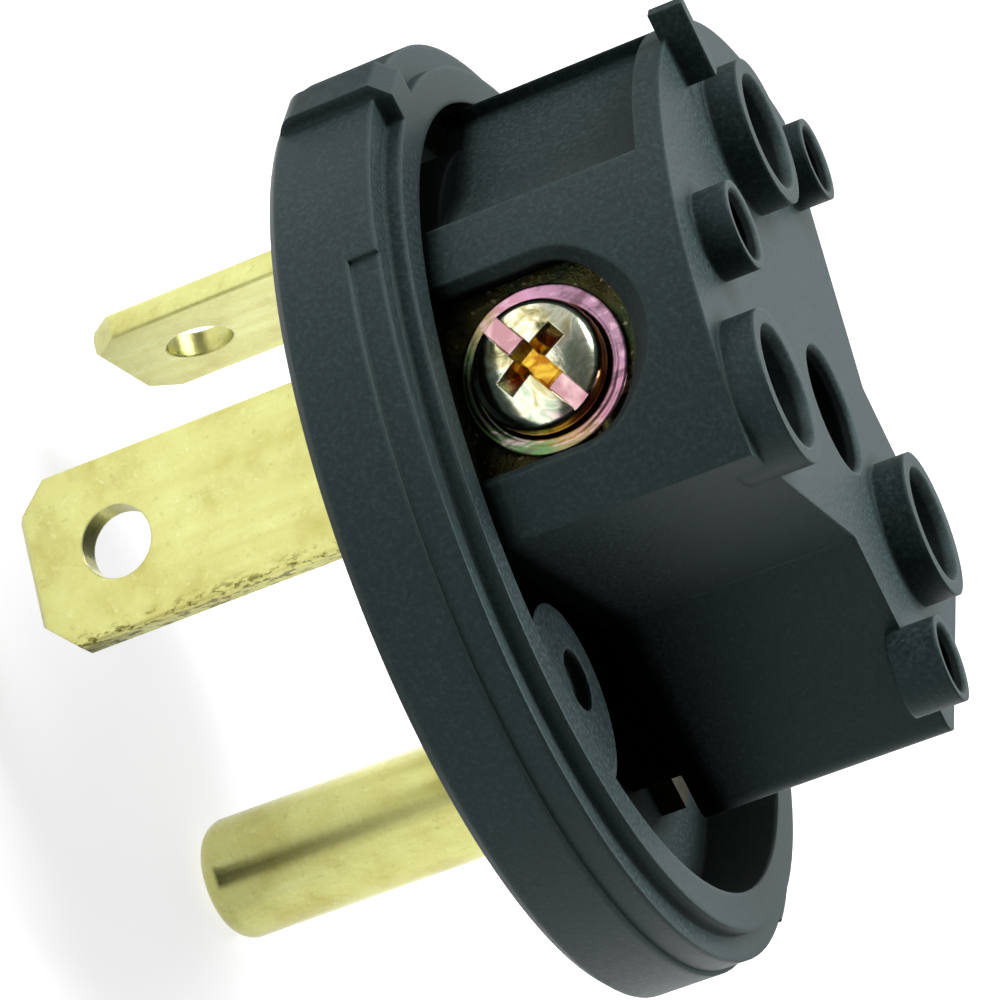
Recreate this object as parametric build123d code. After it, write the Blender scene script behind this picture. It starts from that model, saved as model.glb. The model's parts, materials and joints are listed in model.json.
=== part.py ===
from build123d import *
import math
import os

# Frame: origin at the centre of the mating face, +Z towards the wire side, prongs towards -Z.
# The ground prong lies on +Y. Each terminal is a station: local x is outward from the axis,
# local y runs along the wall, and z stays the same.

# Prongs
blade_thickness = 1.5
blade_width = 10.1
blade_length = 19.8
blade_tip_chamfer = 2.0
blade_tip_bevel = 0.3
blade_edge_round = 0.25
blade_hole_diameter = 4.1
blade_hole_from_face = 14.45
blade_radius = 18.8
shoulder_width = 12.6
shoulder_height = 2.0
pin_diameter = 7.4
pin_length = 25.1
pin_radius_from_axis = 15.0
pin_nose_length = 1.3
pin_nose_flat = 5.2
pin_shank_diameter = 5.2
pin_stake_diameter = 6.4
pin_stake_height = 0.9

# Radii, from the blades outward
strip_inset = 4.3
block_clearance = 0.5
ring_width = 2.2
ledge_width = 1.7
block_radius = blade_radius + strip_inset
ring_inner_radius = block_radius + block_clearance
ring_outer_radius = ring_inner_radius + ring_width
face_radius = ring_outer_radius + ledge_width

# Base disc
rim_height = 6.15
rim_round = 0.5
floor_thickness = 2.5
ring_height = 1.05
band_depth = 0.25
band_width = 1.7
band_start = -60.0
band_end = 80.0
key_width = 3.4
key_height = 0.75
key_front = 0.5
key_round = 1.1
key_slope = 1.0
pad_radius = 5.2
pad_height = 3.7
pad_inset = 4.1
pad_pilot_inset = 5.8
pad_y = 1.5
pad_x = ring_inner_radius - pad_inset
pad_pilot_x = ring_inner_radius - pad_pilot_inset
pad_pilot_diameter = 2.1
pad_sink_diameter = 3.5
pad_sink_depth = 0.8
post_radius = 4.6
post_height = 3.0
post_pilot_diameter = 3.4
slot_clearance = 0.15

# Terminal block
block_top = 21.1
plate_thickness = 1.6
tongue_half_width = 9.0
tongue_end = 17.2
tongue_corner = 1.2
shoulder_line_offset = 12.5
spigot_inset = 2.0
edge_round = 0.35
channel_edge_angle = 20.8
channel_edge_depth = 0.9
channel_crease_depth = 3.4
window_half_width = 5.2
window_arch_level = 12.9
window_bevel = 1.3
wall_thickness = 1.6
chamber_half_width = 5.6
chamber_top = 17.9
chamber_depth_behind_strip = 5.35
fit_clearance = 0.1
boss_height = 2.0
entry_boss_radius = 4.3
entry_mouth_radius = 3.45
entry_bore_radius = 2.65
entry_funnel_depth = 1.3
entry_guide_depth = 0.5
pilot_boss_radius = 2.5
pilot_mouth_radius = 2.1
pilot_bore_radius = 1.6
pilot_funnel_depth = 0.5
pilot_depth = 2.5
pilot_floor = 0.4
centre_mouth_radius = 3.85
centre_bore_radius = 3.4
centre_funnel_depth = 0.7
fin_x = -2.6
fin_thickness = 0.9
fin_length = 4.6
fin_height = 1.7
fin_overhang = 1.5
fin_root_depth = 0.3

# Terminal hardware
screw_level = 11.4
screw_head_radius = 3.5
screw_head_height = 1.7
screw_dome = 0.7
screw_shank_radius = 1.9
slot_width = 1.15
slot_depth = 1.0
cross_width = 1.25
cross_reach = 2.1
cross_depth = 1.5
cup_radius = 4.45
cup_thickness = 0.45
cup_depth = 1.3
strip_top = 17.3
strap_thickness = 1.5
strap_width = 8.0
strap_radius = 11.0
strap_foot_end = 18.4
strap_bend_radius = 1.5
clamp_plate_drop = 4.9
clamp_plate_thickness = 0.6
clamp_plate_corner = 0.8
pressure_plate_size = 8.4
pressure_plate_thickness = 1.8
wire_gap = 2.4
shank_overrun = 0.75
wire_notch_above_screw = 2.2
hardware_clearance = 0.15

# Centre screw
centre_head_radius = 3.1
centre_head_height = 2.2
centre_shank_radius = 1.9
centre_seat = 9.0
centre_screw_reach = 1.9

# Stations: angle, wall distance, strip distance, wire entry and pilot boss (outward, along)
LINE = dict(name="line", angle=-45.0, wall=block_radius, strip=blade_radius,
            entry=(blade_radius - 0.8, 4.7), pilot=(blade_radius - 1.55, -4.9), turn=118.0)
NEUTRAL = dict(name="neutral", angle=-135.0, wall=block_radius, strip=blade_radius,
               entry=(blade_radius - 4.1, 5.5), pilot=(blade_radius - 2.1, -5.1), turn=-20.0)
GROUND = dict(name="ground", angle=90.0, wall=tongue_end, strip=strap_radius,
              entry=(strap_radius - 1.7, 1.1), pilot=(strap_radius + 1.1, -9.6), turn=55.0)
STATIONS = (LINE, NEUTRAL, GROUND)

block_bottom = rim_height
ring_top = rim_height + ring_height
plate_bottom = block_top - plate_thickness
reach = 2 * face_radius


def at_station(station, shape):
    """Turns a shape from station axes into the part's frame."""
    return Rot(0, 0, station["angle"]) * shape


def slab(x0, x1, y0, y1, z0, z1):
    """A box between two corners."""
    centre = ((x0 + x1) / 2, (y0 + y1) / 2, (z0 + z1) / 2)
    return Pos(*centre) * Box(x1 - x0, y1 - y0, z1 - z0)


def post(x, y, radius, z0, z1):
    """An upright cylinder between two levels."""
    return Pos(x, y, (z0 + z1) / 2) * Cylinder(radius, z1 - z0)


def funnel(x, y, radius, mouth_radius, depth, level):
    """A tapered mouth that narrows downwards from a level."""
    return Pos(x, y, level - depth / 2) * Cone(radius, mouth_radius, depth)


def outward(shape, distance, level):
    """Lays a shape made along +Z so that it points outward from a station."""
    return Pos(distance, 0, level) * Rot(0, 90, 0) * shape


def block_outline(inset=0.0):
    """The block seen from the wire side: a round head with a tongue towards the ground prong."""
    radius = block_radius - inset
    half = tongue_half_width - inset
    end = tongue_end - inset
    offset = shoulder_line_offset - inset * math.sqrt(2)
    shoulder_y = offset - half
    corner_x = (offset + math.sqrt(2 * radius**2 - offset**2)) / 2
    corner_y = offset - corner_x
    with BuildSketch() as sketch:
        with BuildLine():
            right = Polyline((0, end), (half, end), (half, shoulder_y), (corner_x, corner_y))
            ThreePointArc(right @ 1, (0, -radius), (-corner_x, corner_y))
            Polyline((-corner_x, corner_y), (-half, shoulder_y), (-half, end), (0, end))
        make_face()
        tips = sketch.vertices().filter_by(lambda v: abs(v.Y - end) < 1e-6 and abs(abs(v.X) - half) < 1e-6)
        fillet(tips, tongue_corner)
    return sketch.sketch


def channel_cut():
    """The shallow V channel between the two live terminals, below the rear plate."""
    edge = math.radians(channel_edge_angle)
    half = block_radius * math.sin(edge)
    lip = block_radius * math.cos(edge) - channel_edge_depth
    floor_y = block_radius - channel_crease_depth
    section = Polyline(
        (half, -lip), (0, -floor_y), (-half, -lip), (-half, -block_radius - 1), (half, -block_radius - 1), close=True
    )
    return Pos(0, 0, block_bottom - 1) * extrude(make_face(section), plate_bottom - block_bottom + 1)


def window_profile(half_width, bottom):
    """An arch over the terminal screw that is open towards the disc."""
    with BuildSketch() as sketch:
        with BuildLine():
            level = window_arch_level
            side = Polyline((bottom, half_width), (level, half_width))
            ThreePointArc(side @ 1, (level + half_width, 0), (level, -half_width))
            Polyline((level, -half_width), (bottom, -half_width), (bottom, half_width))
        make_face()
    return sketch.sketch


def station_window(station):
    """The window, its bevelled border and the chamber behind it, in station axes."""
    wall = station["wall"]
    bottom = floor_thickness
    upright = Plane(origin=(0, 0, 0), x_dir=(0, 0, 1), z_dir=(1, 0, 0))
    opening = extrude(upright * window_profile(window_half_width, bottom), wall + window_bevel)
    opening &= slab(station["strip"], reach, -reach, reach, 0, block_top)
    rim_plane = Plane(origin=(wall - window_bevel, 0, 0), x_dir=(0, 0, 1), z_dir=(1, 0, 0))
    outer_plane = Plane(origin=(wall + fit_clearance, 0, 0), x_dir=(0, 0, 1), z_dir=(1, 0, 0))
    border = loft([
        rim_plane * window_profile(window_half_width, bottom),
        outer_plane * window_profile(window_half_width + window_bevel, bottom),
    ])
    inner = station["strip"] - blade_thickness / 2 - chamber_depth_behind_strip
    chamber = slab(inner, wall - wall_thickness, -chamber_half_width, chamber_half_width, bottom, chamber_top)
    shoulder_half = shoulder_width / 2 + fit_clearance
    shoulder_room = slab(
        inner,
        station["strip"] + blade_thickness,
        -shoulder_half,
        shoulder_half,
        bottom,
        floor_thickness + shoulder_height + fit_clearance,
    )
    return opening + border + chamber + shoulder_room


def station_bosses(station):
    """The wire entry boss and the small pilot boss on the rear plate."""
    top = block_top + boss_height
    entry = post(*station["entry"], entry_boss_radius, plate_bottom, top)
    pilot = post(*station["pilot"], pilot_boss_radius, top - pilot_depth - pilot_floor, top)
    return entry, pilot


def station_bores(station):
    """The wire entry through the plate and the blind pilot hole, both with tapered mouths."""
    top = block_top + boss_height
    entry = post(*station["entry"], entry_bore_radius, chamber_top - entry_guide_depth, top)
    entry += funnel(*station["entry"], entry_bore_radius, entry_mouth_radius, entry_funnel_depth, top)
    pilot = post(*station["pilot"], pilot_bore_radius, top - pilot_depth, top)
    pilot += funnel(*station["pilot"], pilot_bore_radius, pilot_mouth_radius, pilot_funnel_depth, top)
    return entry + pilot


def wire_notch(station):
    """The square clearance that lets a wire pass down beside the terminal screw, in station axes."""
    half = entry_bore_radius + hardware_clearance
    x, y = station["entry"]
    bottom = screw_level + wire_notch_above_screw
    return slab(x - half, x + half, y - half, y + half, bottom, block_top)


def terminal_block():
    """The moulded block that carries the terminals and the rear plate."""
    body = Pos(0, 0, block_bottom) * extrude(block_outline(), block_top - block_bottom)
    body -= channel_cut()
    spigot = extrude(block_outline(spigot_inset), block_bottom - floor_thickness + 1)
    body += Pos(0, 0, floor_thickness) * spigot
    for station in STATIONS:
        entry, pilot = station_bosses(station)
        body += at_station(station, entry)
        body += at_station(station, pilot)
    fin_tip = -block_radius - fin_overhang
    fin_bottom = block_top - fin_root_depth
    half_fin = fin_thickness / 2
    body += slab(
        fin_x - half_fin, fin_x + half_fin, fin_tip, fin_tip + fin_length, fin_bottom, block_top + fin_height
    )
    for station in STATIONS:
        body -= at_station(station, station_window(station))
        body -= at_station(station, station_bores(station))
    body -= post(0, 0, centre_bore_radius, centre_seat, block_top)
    body -= funnel(0, 0, centre_bore_radius, centre_mouth_radius, centre_funnel_depth, block_top)
    body -= post(0, 0, centre_shank_radius + hardware_clearance, 0, block_top)
    body -= post(0, 0, post_radius + fit_clearance, 0, floor_thickness + post_height + fit_clearance)
    return body


def rim_solid():
    """The disc with its recess, ledge and raised ring, turned from one section."""
    section = Polyline(
        (0, 0),
        (face_radius - rim_round, 0),
        (face_radius, rim_round),
        (face_radius, rim_height),
        (ring_outer_radius, rim_height),
        (ring_outer_radius, ring_top),
        (ring_inner_radius, ring_top),
        (ring_inner_radius, floor_thickness),
        (0, floor_thickness),
        close=True,
    )
    return revolve(Plane.XZ * make_face(section), Axis.Z)


def rim_band():
    """The shallow step along the wire side of the rim."""
    ring = post(0, 0, face_radius + 1, rim_height - band_width, rim_height)
    ring -= post(0, 0, face_radius - band_depth, rim_height - band_width, rim_height)
    angles = [band_start + (band_end - band_start) * step / 4 for step in range(5)]
    corners = [(reach * math.cos(math.radians(a)), reach * math.sin(math.radians(a))) for a in angles]
    wedge = extrude(make_face(Polyline((0, 0), *corners, close=True)), rim_height)
    return ring & wedge


def rim_key():
    """The locating lug that crosses the rim and the ledge."""
    outer = face_radius + key_height
    inner = (ring_outer_radius + ring_inner_radius) / 2
    key = slab(inner, outer, -key_width / 2, key_width / 2, key_front, ring_top)
    front = key.edges().filter_by(Axis.Y).sort_by(Axis.Z)[:2].sort_by(Axis.X)[-1]
    key = fillet(front, key_round)
    rear = key.edges().filter_by(Axis.Y).group_by(Axis.Z)[-1].sort_by(Axis.X)[-1]
    key = chamfer(rear, key_slope)
    return Rot(0, 0, -90) * key


def base_disc():
    """The moulded base that holds the prongs."""
    body = rim_solid()
    body -= rim_band()
    body += rim_key()
    for side in (-1, 1):
        top = floor_thickness + pad_height
        within_ring = post(0, 0, ring_outer_radius, 0, top)
        body += post(side * pad_x, pad_y, pad_radius, 0, top) & within_ring
        body -= post(side * pad_pilot_x, pad_y, pad_pilot_diameter / 2, floor_thickness / 2, top)
        body -= post(side * pad_pilot_x, pad_y, pad_sink_diameter / 2, top - pad_sink_depth, top)
    body += post(0, 0, post_radius, 0, floor_thickness + post_height)
    body -= post(0, 0, post_pilot_diameter / 2, floor_thickness / 2, reach)
    slot_half = blade_width / 2 + slot_clearance
    slot_depth_half = blade_thickness / 2 + slot_clearance
    for station in (LINE, NEUTRAL):
        slot = slab(
            blade_radius - slot_depth_half, blade_radius + slot_depth_half, -slot_half, slot_half, -1, reach
        )
        body -= at_station(station, slot)
    body -= post(0, pin_radius_from_axis, pin_shank_diameter / 2 + slot_clearance, -1, reach)
    return body


def blade_outline():
    """The flat blade with its clipped tip, its shoulders and the terminal end, seen square on."""
    half = blade_width / 2
    tip = -blade_length
    shoulder_half = shoulder_width / 2
    shoulder_top = floor_thickness + shoulder_height
    right = [
        (half - blade_tip_chamfer, tip),
        (half, tip + blade_tip_chamfer),
        (half, floor_thickness),
        (shoulder_half, floor_thickness),
        (shoulder_half, shoulder_top),
        (half, shoulder_top),
        (half, strip_top),
    ]
    left = [(-x, z) for x, z in reversed(right)]
    return make_face(Polyline(*right, *left, close=True))


def blade(station):
    """A flat blade in station axes, with the tip hole and the clearance hole for its screw."""
    upright = Plane(origin=(blade_radius - blade_thickness / 2, 0, 0), x_dir=(0, 1, 0), z_dir=(1, 0, 0))
    body = extrude(upright * blade_outline(), blade_thickness)
    tip_edges = body.edges().filter_by(Axis.Y).group_by(Axis.Z)[0]
    body = chamfer(tip_edges, blade_tip_bevel)
    long_edges = body.edges().filter_by(Axis.Z).filter_by(lambda e: e.center().Z < 0)
    body = fillet(long_edges, blade_edge_round)
    body -= outward(Cylinder(blade_hole_diameter / 2, 2 * blade_thickness), blade_radius, -blade_hole_from_face)
    screw_hole = Cylinder(screw_shank_radius + hardware_clearance, 2 * blade_thickness)
    body -= outward(screw_hole, blade_radius, screw_level)
    return body - wire_notch(station)


def ground_pin():
    """The round prong with a rounded nose and a shank staked over the strap foot."""
    radius = pin_diameter / 2
    tip = -pin_length
    foot_top = floor_thickness + strap_thickness
    with BuildSketch(Plane.XZ) as sketch:
        with BuildLine():
            start = Line((0, tip), (pin_nose_flat / 2, tip))
            nose = TangentArc(start @ 1, (radius, tip + pin_nose_length), tangent=(1, 0.3))
            Polyline(
                nose @ 1,
                (radius, 0),
                (pin_shank_diameter / 2, 0),
                (pin_shank_diameter / 2, foot_top),
                (pin_stake_diameter / 2, foot_top),
                (pin_shank_diameter / 2, foot_top + pin_stake_height),
                (0, foot_top + pin_stake_height),
                (0, tip),
            )
        make_face()
    return Pos(0, pin_radius_from_axis, 0) * revolve(sketch.sketch, Axis.Z)


def ground_strap():
    """The bent strip from the foot of the ground prong up to its screw, in station axes."""
    inner = strap_radius - strap_thickness / 2
    outer = strap_radius + strap_thickness / 2
    foot_top = floor_thickness + strap_thickness
    bend = strap_bend_radius
    section = Polyline(
        (inner, floor_thickness),
        (strap_foot_end, floor_thickness),
        (strap_foot_end, foot_top),
        (outer, foot_top),
        (outer, strip_top),
        (inner, strip_top),
        close=True,
    )
    face = make_face(section)
    heel = face.vertices().sort_by_distance((inner, floor_thickness, 0))[0]
    face = fillet(heel, bend)
    upright = Plane(origin=(0, strap_width / 2, 0), x_dir=(1, 0, 0), z_dir=(0, -1, 0))
    body = extrude(upright * face, strap_width)
    body -= post(pin_radius_from_axis, 0, pin_shank_diameter / 2, 0, floor_thickness + 2 * strap_thickness)
    screw_hole = Cylinder(screw_shank_radius + hardware_clearance, 2 * strap_thickness)
    body -= outward(screw_hole, strap_radius, screw_level)
    return body - wire_notch(GROUND)


def strip_face(station):
    """How far out the outer face of a station's strip lies."""
    return station["strip"] + blade_thickness / 2


def clamp_plate(station):
    """The thin square plate between the cup washer and the strip, in station axes."""
    seat = strip_face(station)
    half = chamber_half_width - hardware_clearance
    bottom = screw_level - clamp_plate_drop
    body = slab(seat, seat + clamp_plate_thickness, -half, half, bottom, strip_top)
    body = fillet(body.edges().filter_by(Axis.X), clamp_plate_corner)
    hole = Cylinder(screw_shank_radius + hardware_clearance, 4 * clamp_plate_thickness)
    return body - outward(hole, seat, screw_level) - wire_notch(station)


def cup_washer(station):
    """A dished washer whose rim flares outward round the screw head, in station axes."""
    seat = strip_face(station) + clamp_plate_thickness
    hole = screw_shank_radius + hardware_clearance
    floor_radius = screw_head_radius + hardware_clearance
    section = Polyline(
        (hole, 0),
        (floor_radius, 0),
        (cup_radius, cup_depth - cup_thickness),
        (cup_radius, cup_depth),
        (cup_radius - cup_thickness, cup_depth),
        (floor_radius, cup_thickness),
        (hole, cup_thickness),
        close=True,
    )
    return outward(revolve(Plane.XZ * make_face(section), Axis.Z), seat, screw_level)


def screw_head_section():
    """Half of the screw's profile: shank, flat seat and a low dome."""
    side = screw_head_height - screw_dome
    stack = cup_thickness + clamp_plate_thickness + blade_thickness
    tip = -(stack + wire_gap + pressure_plate_thickness + shank_overrun)
    with BuildSketch(Plane.XZ) as sketch:
        with BuildLine():
            outline = Polyline(
                (0, tip),
                (screw_shank_radius, tip),
                (screw_shank_radius, 0),
                (screw_head_radius, 0),
                (screw_head_radius, side),
            )
            crown = RadiusArc(outline @ 1, (0, screw_head_height), -dome_radius())
            Line(crown @ 1, (0, tip))
        make_face()
    return sketch.sketch


def dome_radius():
    """Radius of the sphere over the screw head."""
    return (screw_head_radius**2 + screw_dome**2) / (2 * screw_dome)


def terminal_screw(station):
    """A pan head screw with a straight slot and a cross recess, in station axes."""
    body = revolve(screw_head_section(), Axis.Z)
    slot_level = screw_head_height - slot_depth / 2
    body -= Pos(0, 0, slot_level) * Box(2 * screw_head_radius + 1, slot_width, slot_depth + screw_dome)
    cross_level = screw_head_height - cross_depth / 2
    for length, width in ((2 * cross_reach, cross_width), (cross_width, 2 * cross_reach)):
        body -= Pos(0, 0, cross_level) * Box(length, width, cross_depth + screw_dome)
    seat = strip_face(station) + clamp_plate_thickness + cup_thickness
    return outward(Rot(0, 0, station["turn"]) * body, seat, screw_level)


def pressure_plate(station):
    """The square threaded plate that the screw draws towards the strip, clamping the wire between."""
    back = station["strip"] - blade_thickness / 2 - wire_gap - pressure_plate_thickness
    half = pressure_plate_size / 2
    body = slab(
        back, back + pressure_plate_thickness, -half, half, screw_level - half, screw_level + half
    )
    body = chamfer(body.edges().filter_by(Axis.X), pressure_plate_thickness / 4)
    hole = Cylinder(screw_shank_radius, 2 * pressure_plate_thickness)
    body -= outward(hole, back + pressure_plate_thickness / 2, screw_level)
    return body - wire_notch(station)


def centre_screw():
    """The long screw that holds the block to the post of the base."""
    body = post(0, 0, centre_head_radius, centre_seat, centre_seat + centre_head_height)
    top_edge = body.edges().filter_by(GeomType.CIRCLE).sort_by(Axis.Z)[-1]
    body = fillet(top_edge, centre_head_height / 3)
    body += post(0, 0, post_pilot_diameter / 2, centre_screw_reach, centre_seat)
    cross_z = centre_seat + centre_head_height
    for length, width in ((2 * cross_reach, cross_width), (cross_width, 2 * cross_reach)):
        body -= Pos(0, 0, cross_z - cross_depth / 2) * Box(length, width, cross_depth)
    return body


def write(node, shape):
    """Writes one piece."""
    export_step(shape, f"parts/{node}.step")


os.makedirs("parts", exist_ok=True)
write("base_disc", base_disc())
write("terminal_block", terminal_block())
write("line_blade", at_station(LINE, blade(LINE)))
write("neutral_blade", at_station(NEUTRAL, blade(NEUTRAL)))
write("ground_pin", ground_pin())
write("ground_strap", at_station(GROUND, ground_strap()))
write("centre_screw", centre_screw())
for place in STATIONS:
    write(f"{place['name']}_terminal_screw", at_station(place, terminal_screw(place)))
    write(f"{place['name']}_cup_washer", at_station(place, cup_washer(place)))
    write(f"{place['name']}_clamp_plate", at_station(place, clamp_plate(place)))
    write(f"{place['name']}_pressure_plate", at_station(place, pressure_plate(place)))
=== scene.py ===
import json
import math

import bmesh
import bpy
from mathutils import Matrix, Vector


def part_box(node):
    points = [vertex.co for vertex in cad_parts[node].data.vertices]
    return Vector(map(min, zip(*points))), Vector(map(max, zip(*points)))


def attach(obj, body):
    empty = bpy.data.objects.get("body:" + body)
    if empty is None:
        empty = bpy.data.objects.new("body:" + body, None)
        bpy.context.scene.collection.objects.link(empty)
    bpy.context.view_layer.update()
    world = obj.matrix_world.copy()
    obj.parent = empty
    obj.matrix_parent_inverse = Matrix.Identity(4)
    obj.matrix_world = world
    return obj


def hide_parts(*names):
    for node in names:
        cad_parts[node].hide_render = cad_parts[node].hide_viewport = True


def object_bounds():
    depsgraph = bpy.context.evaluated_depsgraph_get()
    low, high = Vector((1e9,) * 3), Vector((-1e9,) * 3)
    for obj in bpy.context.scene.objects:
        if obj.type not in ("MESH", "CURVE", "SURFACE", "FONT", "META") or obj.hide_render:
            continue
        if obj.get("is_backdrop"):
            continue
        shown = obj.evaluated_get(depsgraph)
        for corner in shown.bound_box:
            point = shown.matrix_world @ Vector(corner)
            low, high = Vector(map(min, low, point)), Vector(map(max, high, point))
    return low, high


MM = 0.001
FLOOR_GAP = 0.0004

# Places in the block and the disc, in millimetres
ENTRY_MOUTH, ENTRY_BORE = 3.45, 2.65
PEG_MOUTH, PEG_BORE = 2.10, 1.60
CENTRE_MOUTH, CENTRE_BORE = 3.75, 3.40
PLATE_TOP, PLATE_BOTTOM = 21.2, 17.0
FOOT_TOP, FOOT_SHADED = 8.2, 7.2
RECESS_EDGE, RECESS_WALL = 20.2, 18.6
RECESS_TOP, RECESS_DEEP = 6.8, 4.2
MATING_SIDE = 0.8
BLADE_EDGE = (4.1, 4.8)
BLADE_STANDS_OUT = (14.0, 14.5)

# Finish of the moulding, with its painted shade and painted edge highlight
BEVEL_SAMPLES = 4
OCCLUSION_REACH = 7.0
OCCLUSION_SAMPLES = 4
BLOCK_EDGE, DISC_EDGE = 0.30, 0.46
DEEP_SHADE = 0.6

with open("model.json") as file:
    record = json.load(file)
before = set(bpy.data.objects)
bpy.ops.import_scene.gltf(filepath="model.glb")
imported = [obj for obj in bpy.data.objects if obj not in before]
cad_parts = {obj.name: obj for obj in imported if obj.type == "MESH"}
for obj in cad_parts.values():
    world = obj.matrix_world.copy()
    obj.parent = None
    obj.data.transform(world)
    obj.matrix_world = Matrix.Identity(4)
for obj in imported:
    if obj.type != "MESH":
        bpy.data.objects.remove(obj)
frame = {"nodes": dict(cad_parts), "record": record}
lo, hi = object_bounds()
nodes = frame["nodes"]


class Mat:
    """A small helper that builds one node material."""

    def __init__(self, name):
        self.m = bpy.data.materials.new(name)
        self.m.use_nodes = True
        self.t = self.m.node_tree
        self.t.nodes.clear()
        self.out = self.add("ShaderNodeOutputMaterial")
        self.bsdf = self.add("ShaderNodeBsdfPrincipled")
        self.link(self.bsdf.outputs["BSDF"], self.out.inputs["Surface"])
        self.coord = self.add("ShaderNodeTexCoord").outputs["Object"]

    def add(self, kind, **props):
        n = self.t.nodes.new(kind)
        for k, v in props.items():
            setattr(n, k, v)
        return n

    def link(self, a, b):
        self.t.links.new(a, b)

    def set(self, **values):
        for k, v in values.items():
            self.bsdf.inputs[k.replace("_", " ")].default_value = v

    def mapped(self, scale, rotation=(0, 0, 0)):
        n = self.add("ShaderNodeMapping")
        n.inputs["Scale"].default_value = scale
        n.inputs["Rotation"].default_value = rotation
        self.link(self.coord, n.inputs["Vector"])
        return n.outputs["Vector"]

    def noise(self, scale, detail=3.0, rough=0.55, vector=None, distortion=0.0):
        n = self.add("ShaderNodeTexNoise")
        n.inputs["Scale"].default_value = scale
        n.inputs["Detail"].default_value = detail
        n.inputs["Roughness"].default_value = rough
        n.inputs["Distortion"].default_value = distortion
        self.link(vector if vector is not None else self.coord, n.inputs["Vector"])
        return n.outputs["Fac"]

    def ramp(self, fac, stops, interpolation="LINEAR"):
        n = self.add("ShaderNodeValToRGB")
        n.color_ramp.interpolation = interpolation
        els = n.color_ramp.elements
        while len(els) > 1:
            els.remove(els[-1])
        els[0].position = stops[0][0]
        els[0].color = (*stops[0][1], 1)
        for pos, col in stops[1:]:
            e = els.new(pos)
            e.color = (*col, 1)
        self.link(fac, n.inputs["Fac"])
        return n.outputs["Color"]

    def span(self, fac, a, b, lo=0.0, hi=1.0):
        n = self.add("ShaderNodeMapRange")
        for key, v in (("From Min", a), ("From Max", b), ("To Min", lo), ("To Max", hi)):
            n.inputs[key].default_value = v
        self.link(fac, n.inputs["Value"])
        return n.outputs["Result"]

    def mix(self, fac, a, b, mode="MIX"):
        n = self.add("ShaderNodeMix", data_type="RGBA", blend_type=mode)
        for value, key in ((fac, 0), (a, 6), (b, 7)):
            if isinstance(value, tuple):
                n.inputs[key].default_value = (*value, 1)
            else:
                self.link(value, n.inputs[key])
        return n.outputs[2]

    def bump(self, height, strength, distance, base=None):
        n = self.add("ShaderNodeBump")
        n.inputs["Strength"].default_value = strength
        n.inputs["Distance"].default_value = distance
        self.link(height, n.inputs["Height"])
        if base is not None:
            self.link(base, n.inputs["Normal"])
        return n.outputs["Normal"]

    def dot(self, a, b):
        n = self.add("ShaderNodeVectorMath", operation="DOT_PRODUCT")
        for value, key in ((a, 0), (b, 1)):
            if isinstance(value, tuple):
                n.inputs[key].default_value = value
            else:
                self.link(value, n.inputs[key])
        return n.outputs["Value"]

    def combine(self, operation, a, b):
        n = self.add("ShaderNodeMath", operation=operation)
        self.link(a, n.inputs[0])
        self.link(b, n.inputs[1])
        return n.outputs[0]

    def largest(self, a, b):
        return self.combine("MAXIMUM", a, b)

    def times(self, a, b):
        return self.combine("MULTIPLY", a, b)

    def height(self):
        """The point's own Z."""
        n = self.add("ShaderNodeSeparateXYZ")
        self.link(self.coord, n.inputs[0])
        return n.outputs["Z"]

    def soft_edges(self, radius):
        n = self.add("ShaderNodeBevel", samples=BEVEL_SAMPLES)
        n.inputs["Radius"].default_value = radius
        return n.outputs["Normal"]

    def painted_edge_highlight(self, soft, tone, wear_and_highlight, most):
        """A painted highlight: lightens the tone where the rounded normal leaves the true one,
        along the edges.
        """
        turned = self.dot(soft, self.add("ShaderNodeNewGeometry").outputs["Normal"])
        return self.mix(self.span(turned, 0.985, 0.80, 0.0, most), tone, wear_and_highlight)


def holes_in_block():
    """Each hole in the plate: x and y in metres, then its radii and lowest height in mm."""
    found = []
    for mount in frame["record"]["mounts"]:
        x, y, _ = mount["pos_m"]
        if mount["name"].endswith("wire_entry"):
            found.append((x, y, ENTRY_MOUTH, ENTRY_BORE, PLATE_TOP))
        elif mount["name"].endswith("peg_hole"):
            found.append((x, y, PEG_MOUTH, PEG_BORE, PLATE_TOP))
    low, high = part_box("centre_screw")
    x, y = (low[0] + high[0]) / 2, (low[1] + high[1]) / 2
    found.append((x, y, CENTRE_MOUTH, CENTRE_BORE, PLATE_BOTTOM))
    return found


def bore_shade(m, height, plan):
    """Mask for painted shade: 1 deep in the plate's holes and 0 outside them."""
    shade = None
    for x, y, mouth, bore, low in holes_in_block():
        away = m.add("ShaderNodeVectorMath", operation="DISTANCE")
        away.inputs[1].default_value = (x, y, 0)
        m.link(plan, away.inputs[0])
        inside = m.span(away.outputs["Value"], mouth * MM, (bore + 0.1) * MM)
        inside = m.times(inside, m.span(height, low * MM, (low + 0.1) * MM))
        shade = inside if shade is None else m.largest(shade, inside)
    return shade


def recess_shade(m, height, plan):
    """Mask for painted shade: grows with depth in the disc's recess, up to 0.55."""
    reach = m.add("ShaderNodeVectorMath", operation="LENGTH")
    m.link(plan, reach.inputs[0])
    within = m.span(reach.outputs["Value"], RECESS_EDGE * MM, RECESS_WALL * MM)
    raised = m.span(height, MATING_SIDE * MM, (MATING_SIDE + 0.1) * MM)
    low = m.span(height, RECESS_TOP * MM, RECESS_DEEP * MM, 0.0, 0.55)
    return m.times(m.times(within, raised), low)


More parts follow.
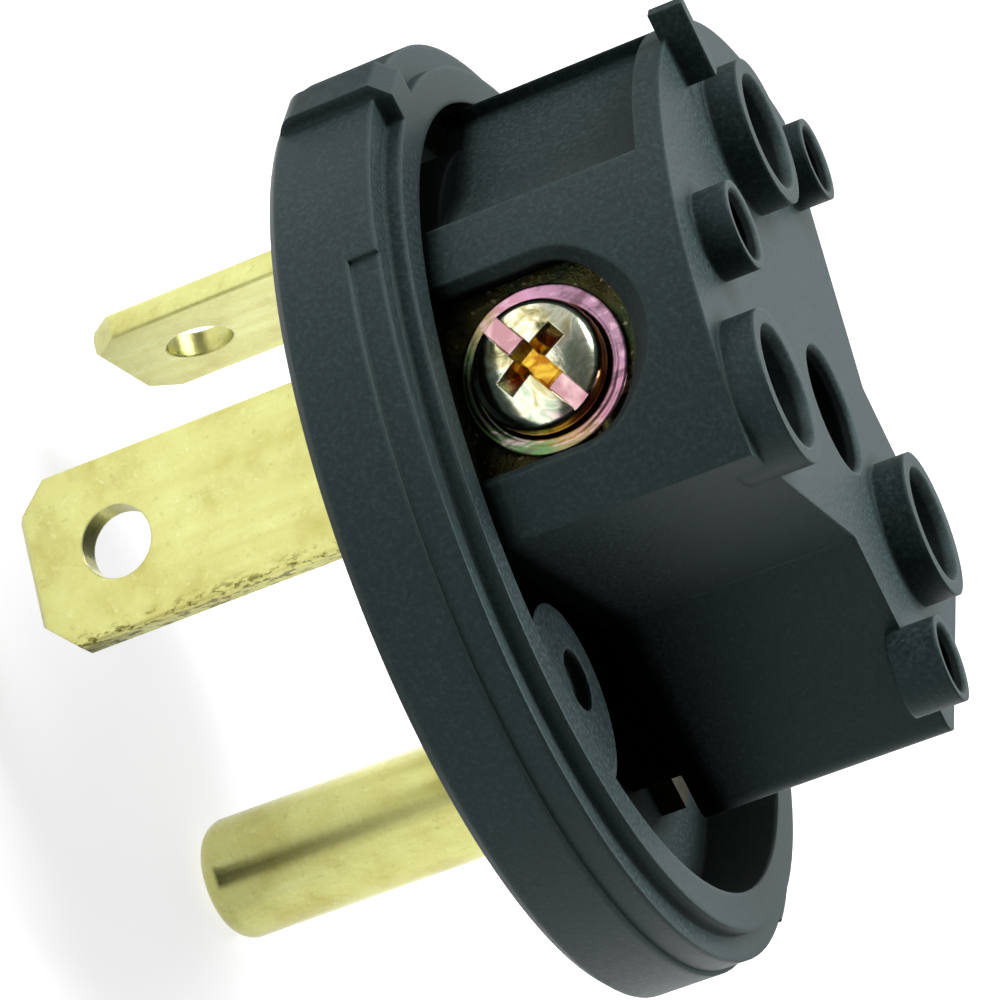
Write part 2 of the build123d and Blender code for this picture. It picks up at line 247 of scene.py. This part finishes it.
def moulding(name="moulding", foot=False):
    """Grained dark plastic, with painted light: a painted highlight on its edges, and painted
    shade where surfaces are occluded, down the plate's holes, in the disc's recess and on the
    block's own foot, which stands in a gap.
    """
    m = Mat(name)
    grain = m.noise(3600, 4, 0.70)
    cloud = m.noise(140, 3, 0.6)
    soft = m.soft_edges((BLOCK_EDGE if foot else DISC_EDGE) * MM)
    tone = m.ramp(grain, [(0.34, (0.009, 0.015, 0.016)), (0.52, (0.018, 0.028, 0.029)),
                          (0.70, (0.042, 0.062, 0.061))])
    tone = m.mix(m.span(cloud, 0.3, 0.7, 0.0, 0.35), tone, (0.013, 0.021, 0.022))
    # Painted highlight: the edges are lightened to a paler grey-green.
    tone = m.painted_edge_highlight(soft, tone, (0.060, 0.090, 0.086), 0.55)

    # Painted shade: the tone goes towards black where ambient occlusion finds nearby surfaces, in
    # corners, creases and gaps.
    open_air = m.add("ShaderNodeAmbientOcclusion", samples=OCCLUSION_SAMPLES)
    open_air.inputs["Distance"].default_value = OCCLUSION_REACH * MM
    light = open_air.outputs["AO"]
    tone = m.mix(m.span(light, 0.55, 0.15, 0.0, 0.75), tone, (0.004, 0.006, 0.006))

    height = m.height()
    flat = m.add("ShaderNodeVectorMath", operation="MULTIPLY")
    flat.inputs[1].default_value = (1, 1, 0)
    m.link(m.coord, flat.inputs[0])
    plan = flat.outputs[0]
    shade = bore_shade(m, height, plan)
    # Painted shade: down the plate's holes the tone goes to near black.
    tone = m.mix(m.span(shade, 0.0, DEEP_SHADE, 0.0, 0.92), tone, (0.001, 0.0015, 0.0015))
    if foot:
        # Painted shade: the block's foot darkens to near black below FOOT_TOP, where it stands in
        # a gap.
        foot_gap_shade = m.span(height, FOOT_TOP * MM, FOOT_SHADED * MM, 0.0, DEEP_SHADE)
        shade = m.largest(shade, foot_gap_shade)
        tone = m.mix(m.span(foot_gap_shade, 0.0, DEEP_SHADE, 0.0, 0.95), tone, (0.001, 0.0015, 0.0015))
    else:
        # Painted shade: the disc's recess darkens with depth.
        pit = recess_shade(m, height, plan)
        shade = m.largest(shade, pit)
        tone = m.mix(m.span(pit, 0.0, 0.55, 0.0, 0.85), tone, (0.002, 0.003, 0.003))
    m.link(tone, m.bsdf.inputs["Base Color"])

    m.link(m.span(grain, 0.3, 0.7, 0.42, 0.58), m.bsdf.inputs["Roughness"])
    open_sheen = m.span(light, 0.15, 0.60, 0.03, 0.24)
    sheen = m.times(open_sheen, m.span(shade, 0.0, DEEP_SHADE, 1.0, 0.08))
    m.link(sheen, m.bsdf.inputs["Specular IOR Level"])
    m.bsdf.inputs["Specular Tint"].default_value = (0.72, 1.0, 0.98, 1)
    m.link(m.bump(grain, 0.45, 0.00006, soft), m.bsdf.inputs["Normal"])
    return m.m


def prong_brass():
    """Drawn brass with streaks, stains and flecks, and a painted highlight on its edges."""
    m = Mat("prong_brass")
    streak = m.noise(900, 3, 0.6, m.mapped((1, 1, 0.05)))
    stain = m.noise(260, 4, 0.62)
    tone = m.ramp(stain, [(0.30, (0.37, 0.34, 0.10)), (0.50, (0.50, 0.50, 0.19)),
                          (0.72, (0.57, 0.59, 0.25))])
    tone = m.mix(m.span(streak, 0.35, 0.65, 0.0, 0.35), tone, (0.58, 0.54, 0.16))
    fleck = m.noise(2100, 4, 0.7)
    tone = m.mix(m.span(fleck, 0.58, 0.72, 0.0, 0.40), tone, (0.30, 0.27, 0.06))
    tone = m.mix(m.span(fleck, 0.42, 0.30, 0.0, 0.35), tone, (0.68, 0.70, 0.38))
    soft = m.soft_edges(0.00022)
    # Painted highlight: the brass is lightened to a pale cream along its edges.
    tone = m.painted_edge_highlight(soft, tone, (0.80, 0.74, 0.44), 0.6)
    # Shear marks along one long edge of the line blade
    edge = m.span(m.dot(m.coord, (0.7071, 0.7071, 0.0)), *(v * MM for v in BLADE_EDGE))
    side = m.span(m.dot(m.coord, (0.7071, -0.7071, 0.0)), *(v * MM for v in BLADE_STANDS_OUT))
    nick = m.span(m.noise(2600, 3, 0.7, m.mapped((1, 1, 0.45))), 0.52, 0.60)
    tone = m.mix(m.times(m.times(edge, side), nick), tone, (0.17, 0.155, 0.04))
    m.link(tone, m.bsdf.inputs["Base Color"])
    m.set(Metallic=1.0)
    m.link(m.span(streak, 0.3, 0.7, 0.22, 0.38), m.bsdf.inputs["Roughness"])
    pit = m.noise(2600, 3, 0.7)
    rough = m.bump(pit, 0.25, 0.00005, m.bump(streak, 0.10, 0.00004, soft))
    m.link(m.bump(stain, 0.08, 0.00006, rough), m.bsdf.inputs["Normal"])
    return m.m


def screw_brass():
    """Bright screw plating with gold and pink patches."""
    m = Mat("screw_brass")
    stain = m.noise(420, 3, 0.6)
    tone = m.ramp(stain, [(0.32, (0.42, 0.27, 0.10)), (0.46, (0.74, 0.62, 0.26)),
                          (0.60, (0.78, 0.80, 0.50)), (0.74, (0.84, 0.62, 0.52))])
    m.link(tone, m.bsdf.inputs["Base Color"])
    m.set(Metallic=1.0, Roughness=0.16)
    m.link(m.bump(stain, 0.10, 0.00008, m.soft_edges(0.00012)), m.bsdf.inputs["Normal"])
    return m.m


def plated_steel():
    """Iridescent plating, for the CAD's own washers."""
    m = Mat("plated_steel")
    film = m.noise(150, 2, 0.5, distortion=0.6)
    stops = [(0.30, (0.35, 0.55, 0.30)), (0.42, (0.75, 0.70, 0.30)), (0.52, (0.85, 0.48, 0.50)),
             (0.62, (0.72, 0.36, 0.55)), (0.74, (0.45, 0.62, 0.40))]
    m.link(m.ramp(film, stops), m.bsdf.inputs["Base Color"])
    m.set(Metallic=1.0, Roughness=0.22)
    m.link(m.bump(m.noise(1500, 3), 0.12, 0.00004, m.soft_edges(0.00010)), m.bsdf.inputs["Normal"])
    return m.m


def dark_steel():
    """Dark olive clamp plates with pale specks."""
    m = Mat("dark_steel")
    speck = m.noise(1300, 4, 0.7)
    film = m.noise(240, 2, 0.5, distortion=0.4)
    tint = m.ramp(film, [(0.35, (0.018, 0.016, 0.006)), (0.5, (0.06, 0.055, 0.018)),
                         (0.65, (0.03, 0.045, 0.02))])
    tone = m.mix(m.span(speck, 0.58, 0.74), tint, (0.50, 0.42, 0.26))
    tone = m.mix(m.span(speck, 0.42, 0.34), tone, (0.03, 0.03, 0.02))
    m.link(tone, m.bsdf.inputs["Base Color"])
    m.set(Metallic=1.0, Roughness=0.44)
    m.link(m.bump(speck, 0.70, 0.00022), m.bsdf.inputs["Normal"])
    return m.m


def head_brass():
    """The terminal screw's finish: pink and amber low in the recess, pale gold on the dome."""
    m = Mat("head_brass")
    level = m.height()
    patch = m.noise(520, 3, 0.6, distortion=0.8)
    dome = m.ramp(patch, [(0.30, (0.10, 0.11, 0.05)), (0.42, (0.52, 0.47, 0.24)),
                          (0.52, (0.80, 0.80, 0.62)), (0.62, (0.42, 0.52, 0.36)),
                          (0.72, (0.78, 0.62, 0.58))])
    slot_tone = m.mix(m.span(patch, 0.40, 0.62), (0.42, 0.22, 0.24), (0.66, 0.44, 0.44))
    cross_tone = m.mix(m.span(patch, 0.42, 0.60), (0.34, 0.13, 0.01), (0.80, 0.56, 0.06))
    low = m.mix(m.span(level, 0.00088, 0.00094), cross_tone, slot_tone)
    m.link(m.mix(m.span(level, 0.00102, 0.00112), low, dome), m.bsdf.inputs["Base Color"])
    m.set(Metallic=1.0, Roughness=0.17)
    m.link(m.bump(patch, 0.25, 0.00012, m.soft_edges(0.00008)), m.bsdf.inputs["Normal"])
    return m.m


def cup_plating():
    """The cup washer's iridescent plating, green on one side and magenta on the other; partly
    painted light, with the magenta side towards the lamps lighter and the green side darker.
    """
    m = Mat("cup_plating")
    turn = m.noise(420, 3, 0.55, m.mapped((1, 1, 0.3)), distortion=0.5)
    # Painted light over the plating's colours: lighter magenta towards the lamps as a painted
    # highlight, dark green away from them as painted shade.
    side = m.span(m.dot(m.coord, (-0.45, 0.89, 0.0)), -0.0046, 0.0046)
    blend = m.add("ShaderNodeMath", operation="MULTIPLY_ADD")
    blend.inputs[1].default_value = 0.45
    m.link(turn, blend.inputs[0])
    m.link(side, blend.inputs[2])
    stops = [(0.18, (0.04, 0.07, 0.03)), (0.42, (0.12, 0.22, 0.09)), (0.62, (0.34, 0.26, 0.12)),
             (0.76, (0.46, 0.22, 0.28)), (0.98, (0.50, 0.26, 0.38)), (1.15, (0.30, 0.17, 0.24))]
    full = 1.3
    film = m.ramp(m.span(blend.outputs[0], 0.0, full), [(p / full, c) for p, c in stops])
    wear_and_highlight = m.noise(1500, 3, 0.6, m.mapped((1, 0.35, 1), (0, 0, 0.5)))
    film = m.mix(m.span(wear_and_highlight, 0.52, 0.66, 0.0, 0.7), film, (0.10, 0.05, 0.06))
    film = m.mix(m.span(wear_and_highlight, 0.44, 0.36, 0.0, 0.5), film, (0.70, 0.46, 0.52))
    m.link(film, m.bsdf.inputs["Base Color"])
    m.set(Metallic=1.0, Roughness=0.24)
    rings = m.add("ShaderNodeTexWave", wave_type="RINGS", rings_direction="Z")
    rings.inputs["Scale"].default_value = 620
    rings.inputs["Distortion"].default_value = 1.2
    m.link(m.coord, rings.inputs["Vector"])
    lines = m.bump(rings.outputs["Fac"], 0.35, 0.00006, m.soft_edges(0.00008))
    m.link(m.bump(turn, 0.20, 0.00010, lines), m.bsdf.inputs["Normal"])
    return m.m


def shaded_strip_brass():
    """The inner strips: the prongs' brass, dull and rough, and darkened far down as painted shade.
    """
    m = Mat("shaded_strip_brass")
    stain = m.noise(500, 4, 0.65)
    tone = m.ramp(stain, [(0.35, (0.014, 0.012, 0.004)), (0.65, (0.040, 0.036, 0.013))])
    m.link(tone, m.bsdf.inputs["Base Color"])
    m.set(Metallic=1.0, Roughness=0.45)
    m.link(m.bump(stain, 0.3, 0.0001), m.bsdf.inputs["Normal"])
    return m.m


FINISHES = {
    "moulding": moulding(),
    "prong_brass": prong_brass(),
    "screw_brass": screw_brass(),
    "plated_steel": plated_steel(),
    "dark_steel": dark_steel(),
}

head_finish = head_brass()
cup_finish = cup_plating()

for entry in frame["record"]["subparts"]:
    obj = nodes[entry["node"]]
    obj.data.materials.clear()
    obj.data.materials.append(FINISHES[entry["material_slot"]])
# Painted shade: the ground strap gets the darkened strip brass.
nodes["ground_strap"].data.materials[0] = shaded_strip_brass()


def new_mesh(name, verts, faces):
    """An object in the scene, from its points and faces."""
    mesh = bpy.data.meshes.new(name)
    mesh.from_pydata(verts, [], faces)
    mesh.update()
    o = bpy.data.objects.new(name, mesh)
    bpy.context.collection.objects.link(o)
    return o


def lathe(name, profile, steps=64):
    """A smooth ring or disc turned from a list of (radius, height) in millimetres."""
    verts, faces = [], []
    for i in range(steps):
        a = 2 * math.pi * i / steps
        verts += [(r * MM * math.cos(a), r * MM * math.sin(a), z * MM) for r, z in profile]
    n = len(profile)
    for i in range(steps):
        j = (i + 1) % steps
        for k in range(n):
            l = (k + 1) % n
            faces.append((i * n + k, j * n + k, j * n + l, i * n + l))
    return new_mesh(name, verts, faces)


def tapered(top, bottom, z_top, z_bottom, turn):
    """A cutter whose plan shrinks from top to bottom, in millimetres."""
    c, d = math.cos(turn), math.sin(turn)
    verts = []
    for (width, depth), z in ((bottom, z_bottom), (top, z_top)):
        for sx, sy in ((-1, -1), (1, -1), (1, 1), (-1, 1)):
            x, y = sx * width / 2 * MM, sy * depth / 2 * MM
            verts.append((x * c - y * d, x * d + y * c, z * MM))
    faces = [(3, 2, 1, 0), (4, 5, 6, 7), (0, 1, 5, 4), (1, 2, 6, 5), (2, 3, 7, 6), (3, 0, 4, 7)]
    return new_mesh("cutter", verts, faces)


def clean_up(o):
    """Makes normals point out."""
    bm = bmesh.new()
    bm.from_mesh(o.data)
    bmesh.ops.remove_doubles(bm, verts=bm.verts, dist=1e-7)
    bmesh.ops.recalc_face_normals(bm, faces=bm.faces)
    bm.to_mesh(o.data)
    bm.free()


def apply_all(o):
    """Turns a piece's modifiers into its mesh."""
    dg = bpy.context.evaluated_depsgraph_get()
    mesh = bpy.data.meshes.new_from_object(o.evaluated_get(dg))
    o.modifiers.clear()
    o.data = mesh


def smooth(o, degrees=35):
    """Smooth shading that keeps the sharp edges."""
    for poly in o.data.polygons:
        poly.use_smooth = True
    o.data.set_sharp_from_angle(angle=math.radians(degrees))


def terminal_screw(name, turn):
    """A domed head with a slot and a cross recess, for a threaded shank made apart."""
    head = [(0.0, 1.92), (1.2, 1.88), (2.2, 1.74), (3.0, 1.50), (3.45, 1.18), (3.62, 0.80),
            (3.62, 0.0), (0.0, 0.0)]
    o = lathe(name, head)
    clean_up(o)
    cutters = [tapered((8.0, 1.15), (8.0, 1.05), 3.0, 0.98, turn)]
    for quarter in (0, math.pi / 2):
        cutters.append(tapered((5.6, 1.35), (2.0, 0.95), 2.6, 0.35, turn + quarter))
    for cutter in cutters:
        clean_up(cutter)
        mod = o.modifiers.new("cut", "BOOLEAN")
        mod.operation = "DIFFERENCE"
        mod.solver = "EXACT"
        mod.object = cutter
    apply_all(o)
    for cutter in cutters:
        bpy.data.objects.remove(cutter)
    smooth(o)
    return o


def threaded_shank(name):
    """The screw's shank with rings for its thread."""
    crest, root, tip, pitch = 1.88, 1.62, 1.3, 0.7
    thread_end, end = -7.3, -7.55
    profile = [(0.0, 0.0), (crest, 0.0)]
    z = -0.2
    while z > thread_end:
        profile += [(root, z), (crest, z - pitch / 2)]
        z -= pitch
    profile += [(tip, end), (0.0, end)]
    o = lathe(name, profile, 40)
    clean_up(o)
    smooth(o, 80)
    return o


def dished_washer(name):
    """A washer with a broad flared rim."""
    profile = [(2.05, -0.30), (3.30, -0.30), (4.10, -0.12), (4.62, 0.16), (4.70, 0.34),
               (4.62, 0.44), (4.46, 0.42), (4.30, 0.34), (4.24, 0.37), (4.04, 0.27),
               (3.98, 0.30), (3.74, 0.20), (3.30, 0.12), (2.05, 0.12)]
    o = lathe(name, profile, 80)
    clean_up(o)
    smooth(o, 60)
    return o


# Name, angle round the disc, radius of the strip in mm, turn of the screw's slot
STATIONS = (
    ("line", -45.0, 18.8, 32.4),
    ("neutral", -135.0, 18.8, 105.0),
    ("ground", 90.0, 11.0, -15.0),
)
STRIP_TO_WASHER = 1.35
SCREW_LEVEL = 11.4
WASHER_FLOOR = 0.45


def station_axes(angle):
    """The directions out of a window and along it."""
    a = math.radians(angle)
    return Vector((math.cos(a), math.sin(a), 0)), Vector((-math.sin(a), math.cos(a), 0))


for name, angle, strip, slot_turn in STATIONS:
    out, along = station_axes(angle)
    axes = Matrix((along, Vector((0, 0, 1)), out)).transposed().to_4x4()
    seat = out * (strip + STRIP_TO_WASHER) * MM + Vector((0, 0, SCREW_LEVEL * MM))
    washer = dished_washer(name + "_cup")
    washer.data.materials.append(cup_finish)
    screw = terminal_screw(name + "_screw_head", math.radians(slot_turn))
    screw.data.materials.append(head_finish)
    shank = threaded_shank(name + "_screw_thread")
    shank.data.materials.append(FINISHES["screw_brass"])
    washer.matrix_world = Matrix.Translation(seat) @ axes
    lifted = Matrix.Translation(seat + out * WASHER_FLOOR * MM) @ axes
    screw.matrix_world = lifted
    shank.matrix_world = lifted
    for o in (washer, screw, shank):
        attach(o, "root")
    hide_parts(name + "_cup_washer")
    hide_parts(name + "_terminal_screw")


# The block, with each window's arch as low as the photo has it
ARCH_FROM, ARCH_TO = 12.9, 20.2
ARCH_DROP, ARCH_RISE = 1.1, 4.5
ARCH_HALF_WIDTH = 7.2
WINDOW_DEPTH = 2.2

block = nodes["terminal_block"]
moulded = bpy.data.objects.new("moulded_block", block.data.copy())
bpy.context.collection.objects.link(moulded)
for name, angle, strip, slot_turn in STATIONS:
    out, along = station_axes(angle)
    for v in moulded.data.vertices:
        x, y, z = v.co.dot(along) / MM, v.co.dot(out) / MM, v.co.z / MM
        near = abs(x) < ARCH_HALF_WIDTH and y > strip + WINDOW_DEPTH
        if near and ARCH_FROM < z < ARCH_TO:
            v.co.z -= ARCH_DROP * MM * min(1.0, (z - ARCH_FROM) / ARCH_RISE)
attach(moulded, "root")
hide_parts("terminal_block")
moulded.data.materials[0] = moulding("moulding_block", foot=True)


# Stage
def floor_material():
    """Pale floor that the camera, metal and glass see as near white."""
    m = Mat("floor")
    tone = m.ramp(m.noise(6, 2), [(0.3, (0.36, 0.365, 0.37)), (0.7, (0.41, 0.41, 0.41))])
    m.link(tone, m.bsdf.inputs["Base Color"])
    m.set(Roughness=0.9)
    glow = m.add("ShaderNodeEmission")
    glow.inputs["Color"].default_value = (1, 1, 1, 1)
    path = m.add("ShaderNodeLightPath")
    looked = path.outputs["Is Camera Ray"]
    for key in ("Is Glossy Ray", "Is Transmission Ray"):
        looked = m.largest(looked, path.outputs[key])
    m.link(m.span(looked, 0.0, 1.0, 0.0, 0.76), glow.inputs["Strength"])
    both = m.add("ShaderNodeAddShader")
    m.link(m.bsdf.outputs["BSDF"], both.inputs[0])
    m.link(glow.outputs["Emission"], both.inputs[1])
    m.link(both.outputs["Shader"], m.out.inputs["Surface"])
    return m.m


bpy.ops.mesh.primitive_plane_add(size=6, location=(0, 0, lo[2] - FLOOR_GAP))
floor = bpy.context.object
floor.name = "floor"
floor.data.materials.append(floor_material())
floor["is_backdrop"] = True


FLAG_LIFT = 0.0002


def flag(name, centre, start, end, near, far, grey):
    """A dim card that lies on the floor and shows only in reflections."""
    verts, faces = [], []
    steps = 12
    for i in range(steps + 1):
        a = math.radians(start + (end - start) * i / steps)
        for r in (near, far):
            x, y = centre[0] + r * math.cos(a), centre[1] + r * math.sin(a)
            verts.append((x, y, lo[2] + FLAG_LIFT))
    for i in range(steps):
        faces.append((2 * i, 2 * i + 1, 2 * i + 3, 2 * i + 2))
    o = new_mesh(name, verts, faces)
    m = Mat(name)
    shade = m.ramp(m.noise(9, 2), [(0.3, (grey,) * 3), (0.7, (grey * 1.15,) * 3)])
    m.link(shade, m.bsdf.inputs["Base Color"])
    m.set(Roughness=1.0, Specular_IOR_Level=0.0)
    o.data.materials.append(m.m)
    o.visible_camera = False
    o.visible_diffuse = False
    o.visible_shadow = False
    o.visible_transmission = False
    o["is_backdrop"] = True


flag("front_flag", (0.0, 0.015), -50, -24, 0.0045, 0.075, 0.30)
flag("far_flag", (0.0, -0.010), -186, -128, 0.070, 0.60, 0.08)

# Camera, from the perspective fit of the photo
RIGHT = Vector((-0.093472, 0.428725, 0.898586))
UP = Vector((-0.467669, -0.815678, 0.340522))
BACK = Vector((0.878947, -0.388412, 0.276744))
EYE = Vector((0.2286626, -0.1030628, 0.0733692))
FOCAL_PIXELS = 4605.5
PHOTO_WIDTH = 998

cam_data = bpy.data.cameras.new("camera")
cam_data.sensor_fit = "HORIZONTAL"
cam_data.sensor_width = 36.0
cam_data.lens = FOCAL_PIXELS / PHOTO_WIDTH * cam_data.sensor_width
cam_data.clip_start = 0.01
cam_data.clip_end = 20.0
cam_data.dof.use_dof = False
camera = bpy.data.objects.new("camera", cam_data)
bpy.context.collection.objects.link(camera)
facing = Matrix((RIGHT, UP, BACK)).transposed()
camera.matrix_world = Matrix.Translation(EYE) @ facing.to_4x4()
bpy.context.scene.camera = camera


def lamp(name, right, up, back, size, power):
    """An area light placed along the photo's own axes, aimed at the object."""
    data = bpy.data.lights.new(name, "AREA")
    data.shape = "DISK"
    data.size = size
    data.energy = power
    o = bpy.data.objects.new(name, data)
    bpy.context.collection.objects.link(o)
    place = right * RIGHT + up * UP + back * BACK
    o.location = place
    o.rotation_mode = "QUATERNION"
    o.rotation_quaternion = place.to_track_quat("Z", "Y")


lamp("key_light", 0.28, 0.42, 0.16, 0.34, 3.4)
lamp("fill_light", -0.50, 0.16, 0.20, 0.40, 1.0)
lamp("side_light", 0.50, 0.10, 0.02, 0.30, 3.2)

scene = bpy.context.scene
world = bpy.data.worlds.new("world")
scene.world = world
world.use_nodes = True
wt = world.node_tree
direction = wt.nodes.new("ShaderNodeTexCoord").outputs["Generated"]


def toward(axis, stops):
    """A grey that depends on how far a direction points along an axis."""
    dot = wt.nodes.new("ShaderNodeVectorMath")
    dot.operation = "DOT_PRODUCT"
    wt.links.new(direction, dot.inputs[0])
    dot.inputs[1].default_value = axis
    half = wt.nodes.new("ShaderNodeMapRange")
    half.inputs["From Min"].default_value = -1.0
    wt.links.new(dot.outputs["Value"], half.inputs["Value"])
    ramp = wt.nodes.new("ShaderNodeValToRGB")
    els = ramp.color_ramp.elements
    els[0].position, els[1].position = stops[0][0], stops[-1][0]
    els[0].color = (stops[0][1],) * 3 + (1,)
    els[1].color = (stops[-1][1],) * 3 + (1,)
    for pos, grey in stops[1:-1]:
        els.new(pos).color = (grey, grey, grey, 1)
    wt.links.new(half.outputs["Result"], ramp.inputs["Fac"])
    return ramp.outputs["Color"]


# A studio: bright all round and above the picture, dim behind the photographer and below
around = toward(BACK, [(0.0, 1.55), (0.20, 1.30), (0.45, 0.80), (0.72, 0.80), (0.86, 0.30),
                       (1.0, 0.16)])
above = toward(UP, [(0.0, 0.30), (0.42, 0.50), (0.60, 0.95), (1.0, 1.10)])
both = wt.nodes.new("ShaderNodeMix")
both.data_type, both.blend_type = "RGBA", "MULTIPLY"
both.inputs[0].default_value = 1.0
wt.links.new(around, both.inputs[6])
wt.links.new(above, both.inputs[7])
wt.links.new(both.outputs[2], wt.nodes["Background"].inputs["Color"])
wt.nodes["Background"].inputs["Strength"].default_value = 0.72
scene.view_settings.view_transform = "Standard"

lo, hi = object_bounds()
